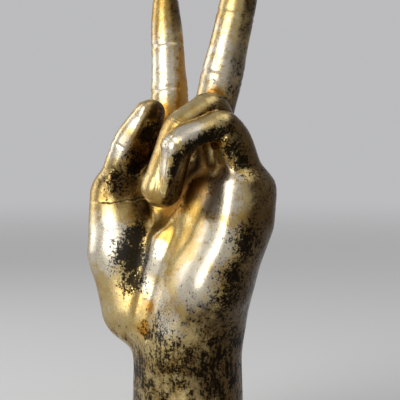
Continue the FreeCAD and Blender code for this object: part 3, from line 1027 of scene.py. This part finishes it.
class Slot(Enum):
    """Material slots of the record, which the pieces here don't take."""

    GOLD = "gilded_ceramic"
    FELT = "felt"


class Finish:
    """A procedural material. Each kind gives its name and lays out its surface."""

    name = "plain"

    def surface(self, kit: Kit, at: Wire) -> Wire:
        """Lay out the surface.

        Args:
            kit: adds nodes to the material.
            at: object coordinates, in metres.

        Returns:
            The surface's shader.
        """
        return kit.node("BsdfPrincipled", {}, {})

    def make(self) -> bpy.types.Material:
        """Build the material."""
        material = bpy.data.materials.new(self.name)
        material.use_nodes = True
        kit = Kit(material.node_tree)
        surface = self.surface(kit, kit.node("TexCoord", {}, {}, "Object"))
        kit.node("OutputMaterial", {}, {"Surface": surface})
        return material


@dataclass(frozen=True)
class GoldLeaf(Finish):
    """Pale gold leaf spotted dark with age, with painted shade laid in as ochre, umber and near black, and
    painted highlight as a cool pale grey.

    Attributes:
        pale: leaf on open skin.
        warm: leaf where it is thicker.
        painted_highlight: a cool pale grey, painted highlight where the key light's bands fall.
        ochre: painted shade in the hollows, in creases and on the side away from the light.
        brown_and_shade: umber painted shade on the side away from the light and in shaded hollows, and a
            browner tone at the wrist.
        dark: near black of age spots and wrist streaks, and painted shade in the hollows and on shaded faces.
    """

    name: str = "gold_leaf"
    pale: Colour = (0.52, 0.40, 0.18, 1.0)
    warm: Colour = (0.41, 0.25, 0.055, 1.0)
    painted_highlight: Colour = (0.66, 0.61, 0.50, 1.0)
    ochre: Colour = (0.40, 0.19, 0.025, 1.0)
    brown_and_shade: Colour = (0.060, 0.033, 0.012, 1.0)
    dark: Colour = (0.007, 0.005, 0.003, 1.0)

    def surface(self, kit: Kit, at: Wire) -> Wire:
        """Lay out the leaf, which reads the marks that GildedHand.marks names."""
        turned = kit.node("Mapping", {}, {"Vector": at, "Rotation": (0.26, 0.34, 0.0),
                                          "Scale": (560.0, 560.0, 120.0)})
        cloud, mottle = kit.noise(at, 42.0, 3.0, 0.55), kit.noise(at, 170.0, 4.0, 0.65)
        grit, speckle = kit.noise(at, 640.0, 5.0, 0.78), kit.noise(at, 1400.0, 3.0, 0.7)
        strokes = kit.noise(turned, 1.0, 5.0, 0.68)
        patterns = {"cloud": cloud, "mottle": mottle, "grit": grit, "speckle": speckle, "strokes": strokes}

        def varied(start: Wire, **shares: float) -> Wire:
            """A value with shares of the patterns about their mean added to it."""
            for pattern, share in shares.items():
                start = start + (patterns[pattern] - 0.5) * share
            return start

        recess, edge, shade = kit.mark("recess"), kit.mark("edge"), kit.mark("shade")
        patina_and_shade, painted_highlight, streak = kit.mark("patina_and_shade"), kit.mark("painted_highlight"), kit.mark("streak")
        leaf = kit.colour((cloud * 0.55 + mottle * 0.45).ramp(0.40, 0.60), self.pale, self.warm)
        # Cool pale grey where the key light's bands fall: painted highlight.
        highlight_amount = varied(painted_highlight, mottle=1.5, grit=1.2).ramp(0.30, 0.75)
        leaf = kit.colour(highlight_amount * 0.85, leaf, self.painted_highlight)
        # Ochre in hollows, creases and on the side away from the light: painted shade.
        ochre_shade_base = recess * 0.9 + kit.mark("ochre_shade") - edge * 0.3
        ochre_shade = varied(ochre_shade_base, mottle=0.9, grit=0.5).ramp(0.30, 0.62)
        leaf = kit.colour(ochre_shade * 0.94, leaf, self.ochre)
        # Umber on the side away from the light and in shaded hollows: painted shade; browner at the wrist as
        # well.
        shade_amount = varied(shade * 0.95, cloud=0.6, mottle=0.7, grit=0.7).ramp(0.08, 0.80)
        leaf = kit.colour(shade_amount * 0.93, leaf, self.brown_and_shade)
        streaked = streak * (varied((strokes - 0.5) * 1.5, cloud=0.9) + 0.17)
        # Near black spots of age and wrist streaks, laid also in the hollows, on shaded faces and on the far
        # side as painted shade.
        darkening = patina_and_shade * 0.58 + recess * 0.10 + shade * 0.20 - edge * 0.2 + streaked
        dark = varied(darkening, mottle=0.60, grit=1.55, speckle=0.60).ramp(0.23, 0.34)
        base = kit.colour(dark * 0.96, leaf, self.dark)
        rough = varied(dark * 0.2 + ochre_shade * 0.08 + 0.30, grit=0.35, mottle=0.15)
        height = mottle * 0.5 + grit * 0.35 + speckle * 0.12 + streak * strokes * 0.6 - dark * 0.22
        return kit.node("BsdfPrincipled", {}, {
            "Base Color": base, "Metallic": 1.0, "Roughness": rough, "Normal": kit.bump(height, 0.45, 0.0006),
        })


@dataclass(frozen=True)
class BareClay(Finish):
    """Unglazed fired clay with fine grog."""

    name: str = "bare_clay"
    light: Colour = (0.56, 0.44, 0.31, 1.0)
    dark: Colour = (0.40, 0.29, 0.19, 1.0)

    def surface(self, kit: Kit, at: Wire) -> Wire:
        """Lay out the clay."""
        grog = kit.noise(at, 900.0, 4.0, 0.7)
        base = kit.colour(grog.ramp(0.35, 0.65), self.dark, self.light)
        return kit.node("BsdfPrincipled", {}, {
            "Base Color": base, "Roughness": 0.9, "Normal": kit.bump(grog, 0.4, 0.0003),
        })


@dataclass(frozen=True)
class Felt(Finish):
    """Short black felt."""

    name: str = "black_felt"
    fibre: Colour = (0.035, 0.035, 0.037, 1.0)
    lint: Colour = (0.010, 0.010, 0.011, 1.0)

    def surface(self, kit: Kit, at: Wire) -> Wire:
        """Lay out the felt."""
        fibres, clumps = kit.noise(at, 2400.0, 5.0, 0.8), kit.noise(at, 420.0, 3.0, 0.6)
        base = kit.colour((fibres * 0.6 + clumps * 0.4).ramp(0.38, 0.62), self.lint, self.fibre)
        return kit.node("BsdfPrincipled", {}, {
            "Base Color": base, "Roughness": 0.95, "Normal": kit.bump(fibres + clumps * 0.6, 0.7, 0.0004),
            "Sheen Weight": 0.4, "Sheen Roughness": 0.5,
        })


@dataclass(frozen=True)
class FloorCard(Finish):
    """Matte pale card, clear past a few metres."""

    name: str = "pale_floor"
    card: Colour = (0.60, 0.595, 0.59, 1.0)
    fade: tuple[float, float] = (0.5, 2.6)

    def surface(self, kit: Kit, at: Wire) -> Wire:
        """Lay out the card."""
        far = kit.node("VectorMath", {"operation": "LENGTH"}, {0: at}, "Value").ramp(*self.fade)
        card = kit.node("BsdfPrincipled", {}, {"Base Color": self.card, "Roughness": 0.9})
        return kit.node("MixShader", {}, {0: far, 1: card, 2: kit.node("BsdfTransparent", {}, {})})


# The pieces


@dataclass(frozen=True)
class Patch:
    """A soft ball of colour on the skin: place, radius and strength, in millimetres."""

    at: Point
    radius: float
    strength: float


def patches(*rows: tuple[float, float, float, float, float]) -> tuple[Patch, ...]:
    """Patches from rows of x, y, z, radius and strength."""
    return tuple(Patch(row[:3], *row[3:]) for row in rows)


# Spots of age laid on shaded faces, so also painted shade; painted highlight in cool grey along the lit
# bands; ochre painted shade in the hollows and on the index finger's far side; and umber painted shade, with
# a browner wrist.
SKIN_PATCHES: Mapping[str, tuple[Patch, ...]] = {
    "patina_and_shade": patches(
        (-11.5, -26.5, 105, 12, 1.0), (-9, -26, 93, 9, 0.9), (-14, -24, 114, 8, 0.9),
        (-16, -12.5, 168, 6, 0.6), (-24, -17, 152, 8, 0.4), (-29, -26, 144, 7, 0.4),
        (37.8, -17.6, 165.5, 4.5, 0.85), (34.7, -24, 162.5, 4.5, 0.8), (30.5, -28.5, 157, 4.5, 0.7),
        (28.4, -30, 150, 4, 0.75), (26, -31, 145, 3, 0.6), (41.5, -10, 168, 5, 0.65),
        (42.4, -4.5, 160, 4.5, 0.8), (43.7, -1, 153.5, 4.5, 0.85), (44.5, 1.7, 146.8, 4, 0.6),
        (14, -15, 131, 7, 0.35), (10, -25, 66, 12, 0.45), (49, -4, 116, 9, 0.55),
        (46.5, -9, 101, 8, 0.5), (44, -10, 90, 8, 0.45),
    ),
    "painted_highlight": patches(
        (40, -8, 138, 17, 0.8), (42, -17, 116, 17, 0.9), (33, -23, 94, 17, 0.9), (16, -25, 72, 14, 0.8),
        (-25, -36, 112, 19, 1.0), (0, -21, 104, 11, 1.0), (-2, -24, 92, 9, 0.8), (-17, -21, 176, 11, 0.7),
        (-27, -26, 162, 12, 0.8), (33, -25, 170.5, 9, 1.0), (27, -32.5, 163, 7, 1.0),
        (22, -32.8, 152, 7, 1.0), (-30, 8, 205, 28, 0.7), (15, 9, 207, 26, 0.7),
        (-24, -31, 76, 14, 0.4), (19, -11, 140, 8, 0.7), (8, -22, 84, 14, 0.7),
    ),
    "ochre_shade": patches(
        (-22, -24, 128, 9, 0.35), (2.5, -25.5, 80, 5, 0.6), (0, -26.5, 68, 6, 0.6), (27, -8, 142, 12, 0.3),
        (-27, -22, 139, 8, 0.5), (-23, 18, 184, 9.5, 1.0), (-24.5, 20, 193, 9.5, 1.0),
        (-26.5, 21.5, 202, 9.5, 1.0), (-28.5, 23, 211, 9.5, 1.0), (-30.5, 24, 221, 9, 0.8),
        (-20, -12, 158, 8, 0.4),
    ),
    "brown_and_shade": patches(
        (-26, -23, 143, 13, 0.9), (-34, -29, 144, 8, 0.6), (-20, -14, 158, 13, 0.8), (43, -4, 162, 9, 0.5),
        (6, -1, 156, 15, 1.0), (12, -4, 186, 14, 0.45), (37, -9, 76, 18, 0.9), (34, -6, 48, 26, 1.0),
        (-14, -23, 38, 30, 0.5), (14, -22, 34, 28, 0.55),
    ),
}


@dataclass
class GildedHand:
    """The gilded skin over palm, thumb and fingers, and the nails on it.

    Attributes:
        cell: side of the cells that the skin is first drawn in.
        low: lowest corner of the space it is drawn in.
        high: highest corner.
        mouth: half sizes of the opening under the wrist.
        away: direction in which the painted shade is darkest, away from the light, towards the little
            finger's edge.
        streaks: heights between which the streaks on the wrist fade out.
        nail_grid: corners along each side of a nail.
        recess_looks: how far outward the finish looks for the skin, and the weight of each look.
        edge_looks: how far inward it looks.
        form: the hand's shape.
    """

    cell: float = 1.3
    low: Point = (-58.0, -46.0, -2.0)
    high: Point = (56.0, 38.0, 268.0)
    mouth: tuple[float, float] = (31.9, 22.9)
    away: Point = (0.74, 0.65, -0.12)
    streaks: tuple[float, float] = (38.0, 104.0)
    nail_grid: int = 25
    recess_looks: tuple[tuple[float, float], ...] = ((2.0, 0.22), (4.0, 0.26), (8.0, 0.28), (14.0, 0.24))
    edge_looks: tuple[float, ...] = (2.0, 4.0)
    form: HandForm = field(default_factory=HandForm)

    def build(self, finish: bpy.types.Material) -> None:
        """Draw the skin, cut it into its pieces and seat the nails.

        Args:
            finish: the gold leaf.
        """
        maker = NetMaker(self.form.distance, self.low, self.high, self.cell)
        net = maker.settle(maker.draw(), 2)
        net = maker.settle(net.split(), 2)
        log.info("skin drawn with %d knots", len(net.points))
        owner = self.form.parts(net.points).argmin(1)
        plain = net.normals()
        marks = self.marks(net, plain)
        net.points = net.points + plain * self.form.relief(net.points, owner)[:, None]
        normals = net.normals()
        quads = net.quads[~self.in_mouth(net.points[net.quads].mean(1))]
        face_owner = np.sort(owner[quads], axis=1)[:, 1]
        for number, node in enumerate(self.form.names):
            used, faces = np.unique(quads[face_owner == number], return_inverse=True)
            piece = make_piece(f"{node}_skin", net.points[used], faces.reshape(-1, 4), normals[used],
                               {mark: values[used] for mark, values in marks.items()})
            self.dress(piece, finish, node)
        for name, limb in self.form.limbs.items():
            self.dress(self.nail(name, limb), finish)

    @staticmethod
    def dress(piece: bpy.types.Object, finish: bpy.types.Material, node: str = "") -> None:
        """Give a piece its finish and its body, and hide the CAD node it stands for."""
        piece.data.materials.append(finish)
        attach(piece, "root")
        if node:
            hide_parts(node)
        log.info("%s: %d faces", piece.name, len(piece.data.polygons))

    def in_mouth(self, centres: Rows) -> Rows:
        """Whether each face lies in the open mouth under the wrist."""
        reach = np.hypot(centres[:, 0] / self.mouth[0], centres[:, 1] / self.mouth[1])
        return (reach < 1.0) & (centres[:, 2] < self.form.palm.foot + 1.0)

    def marks(self, net: Net, normals: Rows) -> dict[str, Rows]:
        """Values for the finish.

        The recess is how much nearer the skin comes, at steps out along the
        outward direction, than it would over a flat; by it the finish lays ochre
        and darker painted shade into the hollows. The edge is the same inwards.

        Args:
            net: the plain skin.
            normals: its outward directions.

        Returns:
            The marks by name, between 0 and 1.
        """
        points = net.points
        recess, edge = np.zeros(len(points)), np.zeros(len(points))
        for reach, weight in self.recess_looks:
            recess += weight * np.clip(1.0 - self.form.distance(points + normals * reach) / reach, 0.0, 1.0)
        for reach in self.edge_looks:
            edge += np.clip(1.0 + self.form.distance(points - normals * reach) / reach, 0.0, 1.0)
        ochre_shade, painted_highlight = self.spots(points, "ochre_shade"), self.spots(points, "painted_highlight")
        # Painted shade: umber facing away from the light, less under ochre painted shade and painted
        # highlight; the umber patches add painted shade in shaded hollows and a browner wrist.
        shade = self.shade(normals) * (1.0 - 0.85 * ochre_shade) * (1.0 - 0.7 * painted_highlight)
        return {
            "recess": np.clip(net.spread(recess, 3) * 1.3, 0.0, 1.0),
            "edge": np.clip(net.spread(edge, 3), 0.0, 1.0),
            "patina_and_shade": self.spots(points, "patina_and_shade"),
            "painted_highlight": painted_highlight,
            "ochre_shade": ochre_shade,
            "shade": np.maximum(shade, self.spots(points, "brown_and_shade")),
            "streak": 1.0 - smooth_step(points[:, 2], *self.streaks),
        }

    def shade(self, normals: Rows) -> Rows:
        """Painted shade by outward direction: full facing away from the light, less on the back."""
        toward = normals @ unit(np.array(self.away))
        return smooth_step(toward, 0.06, 0.62) * (1.0 - 0.6 * smooth_step(normals[:, 1], 0.45, 1.0))

    @staticmethod
    def spots(points: Rows, kind: str) -> Rows:
        """Strength of a kind of patch: a bell over the distance to each patch, the largest kept."""
        found = np.zeros(len(points))
        for patch in SKIN_PATCHES[kind]:
            far = np.linalg.norm(points - patch.at, axis=1)
            found = np.maximum(found, patch.strength * bell(far, patch.radius))
        return found

    def nail(self, name: str, limb: Limb) -> bpy.types.Object:
        """A nail on the back of a finger's tip.

        Two sheets over a grid of across and along, from -1 to 1 each: the upper
        stands above the skin by a rise that falls off as the sixth power towards
        the edges, the lower lies in the flesh, and their rims are joined.

        Args:
            name: the finger.
            limb: its flesh.

        Returns:
            The nail.
        """
        plan, count = limb.plan.nail, self.nail_grid
        line = np.linspace(-1, 1, count)
        a, b = (values.ravel() for values in np.meshgrid(line, line, indexing="ij"))
        side = a * np.sqrt(1.0 - (plan.narrow[0] - plan.narrow[1] * b) * b ** 2) * plan.wide
        run = b * np.sqrt(1.0 - (plan.arch[0] - plan.arch[1] * b) * a ** 2)
        free_edge = limb.length + limb.radii[-1, 0] * 0.75 - plan.back
        along = free_edge + (run - 1.0) * plan.length / 2
        rim = np.maximum(np.abs(a), np.abs(b)) ** 6
        upper = limb.skin_point(side, along, plan.lift * (1.0 - rim) - plan.sunk + plan.slope * b)
        lower = limb.skin_point(side, along, np.full(len(a), -plan.under))
        index = np.arange(count * count).reshape(count, count)
        sheet = np.stack([index[:-1, :-1], index[:-1, 1:], index[1:, 1:], index[1:, :-1]], -1).reshape(-1, 4)
        ring = np.concatenate([index[0, :-1], index[:-1, -1], index[-1, :0:-1], index[:0:-1, 0]])
        after, under = np.roll(ring, -1), count * count
        wall = np.stack([ring, ring + under, after + under, after], 1)
        faces = np.concatenate([sheet, sheet[:, ::-1] + under, wall])
        points = np.concatenate([upper, lower])
        # The nail takes a little painted highlight, and painted shade by the direction of the finger's back.
        marks = {mark: np.full(len(points), value) for mark, value in
                 {"recess": 0.0, "edge": 0.3, "painted_highlight": 0.2, "ochre_shade": 0.0, "streak": 0.0}.items()}
        marks["patina_and_shade"] = self.spots(points, "patina_and_shade")
        marks["shade"] = self.shade(np.tile(limb.back[-1], (len(points), 1)))
        return make_piece(f"{name}_nail", points, faces, None, marks)


@dataclass
class Foot:
    """The felt pad and the clay floor under the wrist.

    Attributes:
        half_width: half the felt's width, in millimetres.
        half_depth: half its depth.
        thickness: its thickness.
        round_share: share of the thickness that its cut edge is rounded by.
        turns: corners round it.
        rings: rings from the middle to the edge of each flat side.
        bends: rings round its cut edge.
    """

    half_width: float = 34.0
    half_depth: float = 25.0
    thickness: float = 2.0
    round_share: float = 0.3
    turns: int = 160
    rings: int = 8
    bends: int = 9

    def build(self, felt: bpy.types.Material, clay: bpy.types.Material) -> None:
        """Make the felt and finish the floor.

        The felt is a closed lathe form with an oval plan: flat below and above,
        with a cut edge whose corners are quarter rounds.

        Args:
            felt: finish of the pad.
            clay: finish of the floor.
        """
        edge = self.round_share * self.thickness
        bend = np.linspace(-math.pi / 2, math.pi / 2, self.bends)
        flat, one = np.linspace(0.05, 0.95, self.rings), np.ones(self.rings)
        share = np.concatenate([flat, np.ones(self.bends), flat[::-1]])
        inset = edge * np.concatenate([one, 1.0 - np.cos(bend), one])
        wall = np.where(bend < 0, edge, self.thickness - edge) + edge * np.sin(bend)
        height = np.concatenate([one * 0.0, wall, one * self.thickness])
        wide, deep = (self.half_width - inset) * share, (self.half_depth - inset) * share
        piece = make_piece("felt_disc", *lathe(wide, deep, height, self.turns, True))
        piece.data.materials.append(felt)
        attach(piece, "root")
        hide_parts("felt_pad")
        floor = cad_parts["base_floor"]
        floor.data.materials.clear()
        floor.data.materials.append(clay)
        log.info("%s: %d faces", piece.name, len(piece.data.polygons))


@dataclass(frozen=True)
class Softbox:
    """A rectangular soft light that faces the hand.

    Attributes:
        name: its name.
        azimuth: side it shines from, in degrees from -Y towards +X.
        elevation: its height as an angle.
        distance: millimetres from the hand.
        size: its width and height.
        power: watts.
        spread: how wide it fans out, in degrees, so that the floor beside it stays even.
    """

    name: str
    azimuth: float
    elevation: float
    distance: float
    size: tuple[float, float]
    power: float
    spread: float = 120.0

    def make(self) -> bpy.types.Object:
        """The lamp, not yet put in its place."""
        lamp = bpy.data.lights.new(self.name, "AREA")
        lamp.shape = "RECTANGLE"
        lamp.size, lamp.size_y = (side * METRES_PER_MM for side in self.size)
        lamp.spread = math.radians(self.spread)
        lamp.energy = self.power
        return bpy.data.objects.new(self.name, lamp)


@dataclass
class Studio:
    """Floor, soft lights and the camera.

    Attributes:
        azimuth: side that the camera looks from, in degrees from -Y towards +X.
        elevation: its height as an angle.
        distance: how far it stands from the target, in millimetres.
        target: what it looks at.
        lens: focal length.
        sensor: width of the sensor that the focal length goes with.
        backdrop: colour of the backdrop and of the floor's far part.
        floor_radius: radius of the floor, in millimetres.
        floor_grid: corners round the floor, and rings from its middle.
        lamps: the soft lights.
    """

    azimuth: float = 52.0
    elevation: float = 3.0
    distance: float = 620.0
    target: Point = (4.2, 5.4, 134.0)
    lens: float = 106.0
    sensor: float = 36.0
    backdrop: Colour = (0.50, 0.50, 0.51, 1.0)
    floor_radius: float = 6000.0
    floor_grid: tuple[int, int] = (96, 24)
    lamps: tuple[Softbox, ...] = (
        Softbox("key_light", 4.0, 21.0, 1100.0, (640.0, 1000.0), 4.4),
        Softbox("side_light", -66.0, 21.0, 1100.0, (360.0, 1000.0), 1.4),
        Softbox("top_light", 120.0, 70.0, 1500.0, (1300.0, 1300.0), 2.4),
    )

    def build(self) -> None:
        """Set up the whole studio."""
        self.camera()
        self.floor()
        self.world()
        for lamp in self.lamps:
            self.aim(lamp.make(), lamp.azimuth, lamp.elevation, lamp.distance)

    def aim(self, thing: bpy.types.Object, azimuth: float, elevation: float, distance: float) -> None:
        """Put a thing at a place round the target and turn it to the target.

        Args:
            thing: camera or lamp.
            azimuth: side it stands on, in degrees.
            elevation: its height as an angle.
            distance: millimetres from the target.
        """
        turn, lift = math.radians(azimuth), math.radians(elevation)
        back = Vector((math.sin(turn) * math.cos(lift), -math.cos(turn) * math.cos(lift), math.sin(lift)))
        place = (Vector(self.target) + back * distance) * METRES_PER_MM
        ahead = Vector(self.target) * METRES_PER_MM - place
        thing.location = place
        thing.rotation_euler = ahead.to_track_quat("-Z", "Y").to_euler()
        bpy.context.scene.collection.objects.link(thing)

    def camera(self) -> None:
        """The camera at the photograph's angle."""
        lens = bpy.data.cameras.new("camera")
        lens.lens, lens.sensor_width = self.lens, self.sensor
        eye = bpy.data.objects.new("camera", lens)
        self.aim(eye, self.azimuth, self.elevation, self.distance)
        bpy.context.scene.camera = eye

    def floor(self) -> None:
        """A pale round floor that fades into the backdrop: rings closer together towards its middle."""
        turns, rings = self.floor_grid
        radius = self.floor_radius * np.linspace(1.0, 0.0, rings, endpoint=False) ** 2
        piece = make_piece("floor", *lathe(radius, radius, np.zeros(rings), turns, False))
        piece.data.materials.append(FloorCard().make())

    def world(self) -> None:
        """A plain grey room."""
        world = bpy.data.worlds.new("room")
        bpy.context.scene.world = world
        world.use_nodes = True
        kit = Kit(world.node_tree)
        shader = kit.node("Background", {}, {"Color": self.backdrop})
        kit.node("OutputWorld", {}, {"Surface": shader})
        bpy.context.scene.view_settings.view_transform = "Standard"


def main() -> None:
    """Build the hand, its foot and the studio."""
    logging.basicConfig(level=logging.INFO, format="%(name)s: %(message)s")
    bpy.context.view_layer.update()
    Studio().build()
    GildedHand().build(GoldLeaf().make())
    Foot().build(Felt().make(), BareClay().make())


if __name__ == "__main__":
    main()
